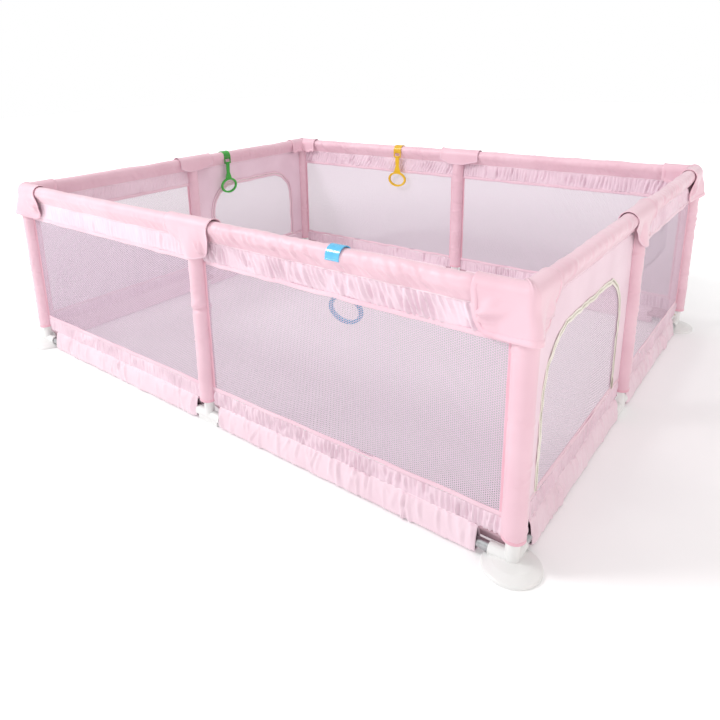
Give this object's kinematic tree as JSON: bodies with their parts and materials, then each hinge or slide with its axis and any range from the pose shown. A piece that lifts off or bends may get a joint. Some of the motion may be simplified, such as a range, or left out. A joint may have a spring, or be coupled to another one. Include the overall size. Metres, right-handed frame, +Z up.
{
  "type": "playpen",
  "caption": "Rectangular padded playpen with mesh walls, steel tube frame in plastic sockets, two zipped arch doors, pull rings and suction feet.",
  "frame": {"origin": "bottom centre of the playpen, on the floor", "axes": "+X along the long side, +Y to the back, +Z up; the front is the long side with the blue ring"},
  "size_m": [2.176, 1.796, 0.6838],
  "materials": {
    "steel_tube": "plated thin steel tube",
    "white_plastic": "moulded white plastic, fine texture",
    "padded_fabric": "satin polyester over foam",
    "pink_fabric": "satin polyester, sewn and gathered",
    "mesh_fabric": "open knitted net",
    "clear_mesh": "thin translucent net",
    "zip_tape": "woven zip tape with moulded teeth",
    "zip_metal": "small plated metal parts",
    "soft_rubber": "clear soft rubber",
    "blue_plastic": "gloss moulded plastic",
    "yellow_plastic": "gloss moulded plastic",
    "green_plastic": "gloss moulded plastic",
    "blue_silicone": "soft satin silicone",
    "yellow_silicone": "soft satin silicone",
    "green_silicone": "soft satin silicone"
  },
  "bodies": {
    "frame": {"corner_post_tubes": "steel_tube", "mid_post_tubes": "steel_tube", "top_rail_tubes_front": "steel_tube", "floor_tubes_front": "steel_tube", "top_rail_tubes_right": "steel_tube", "floor_tubes_right": "steel_tube", "top_rail_tubes_back": "steel_tube", "floor_tubes_back": "steel_tube", "top_rail_tubes_left": "steel_tube", "floor_tubes_left": "steel_tube", "top_mid_socket_front": "white_plastic", "mid_foot_front": "white_plastic", "top_mid_socket_right": "white_plastic", "mid_foot_right": "white_plastic", "top_mid_socket_back": "white_plastic", "mid_foot_back": "white_plastic", "top_mid_socket_left": "white_plastic", "mid_foot_left": "white_plastic", "top_corner_socket_front_right": "white_plastic", "corner_foot_front_right": "white_plastic", "top_corner_socket_back_right": "white_plastic", "corner_foot_back_right": "white_plastic", "top_corner_socket_back_left": "white_plastic", "corner_foot_back_left": "white_plastic", "top_corner_socket_front_left": "white_plastic", "corner_foot_front_left": "white_plastic", "corner_post_padding": "padded_fabric", "mid_post_padding": "padded_fabric", "rail_padding_front": "padded_fabric", "rail_padding_right": "padded_fabric", "rail_padding_back": "padded_fabric", "rail_padding_left": "padded_fabric", "floor_skirt_front": "pink_fabric", "floor_skirt_right": "pink_fabric", "floor_skirt_back": "pink_fabric", "floor_skirt_left": "pink_fabric", "corner_caps": "pink_fabric", "mid_wraps": "pink_fabric", "door_surround_right": "pink_fabric", "door_surround_left": "pink_fabric", "wall_front": "mesh_fabric", "wall_right": "mesh_fabric", "wall_back": "mesh_fabric", "wall_left": "mesh_fabric", "door_zip_right": "zip_tape", "door_zip_left": "zip_tape", "storage_pocket": "clear_mesh", "suction_cups": "soft_rubber", "foot_screws": "zip_metal", "ring_clip_blue": "blue_plastic", "ring_clip_yellow": "yellow_plastic", "ring_clip_green": "green_plastic"},
    "door_right": {"door_flap_right": "mesh_fabric"},
    "door_left": {"door_flap_left": "mesh_fabric"},
    "slider_right": {"zip_slider_right": "zip_metal"},
    "slider_left": {"zip_slider_left": "zip_metal"},
    "ring_blue": {"pull_ring_blue": "blue_silicone"},
    "ring_yellow": {"pull_ring_yellow": "yellow_silicone"},
    "ring_green": {"pull_ring_green": "green_silicone"}
  },
  "joints": [
    {"name": "door_right_swing", "type": "hinge", "parent": "frame", "child": "door_right", "pos_m": [1.02, -0.415, 0.131], "axis": [0, 1, 0], "range_deg": [0, 100]},
    {"name": "door_left_swing", "type": "hinge", "parent": "frame", "child": "door_left", "pos_m": [-1.02, 0.415, 0.131], "axis": [0, -1, 0], "range_deg": [0, 100]},
    {"name": "zip_right_slide", "type": "slide", "parent": "frame", "child": "slider_right", "axis": [0, 0, 1], "range_m": [0, 0.2]},
    {"name": "zip_left_slide", "type": "slide", "parent": "frame", "child": "slider_left", "axis": [0, 0, 1], "range_m": [0, 0.2]},
    {"name": "ring_blue_swing", "type": "hinge", "parent": "frame", "child": "ring_blue", "pos_m": [0.54, -0.804, 0.624], "axis": [1, 0, 0], "range_deg": [-6, 150]},
    {"name": "ring_yellow_swing", "type": "hinge", "parent": "frame", "child": "ring_yellow", "pos_m": [-0.34, 0.804, 0.624], "axis": [-1, 0, 0], "range_deg": [-6, 150]},
    {"name": "ring_green_swing", "type": "hinge", "parent": "frame", "child": "ring_green", "pos_m": [-0.994, 0.215, 0.624], "axis": [0, -1, 0], "range_deg": [-6, 150]}
  ]
}
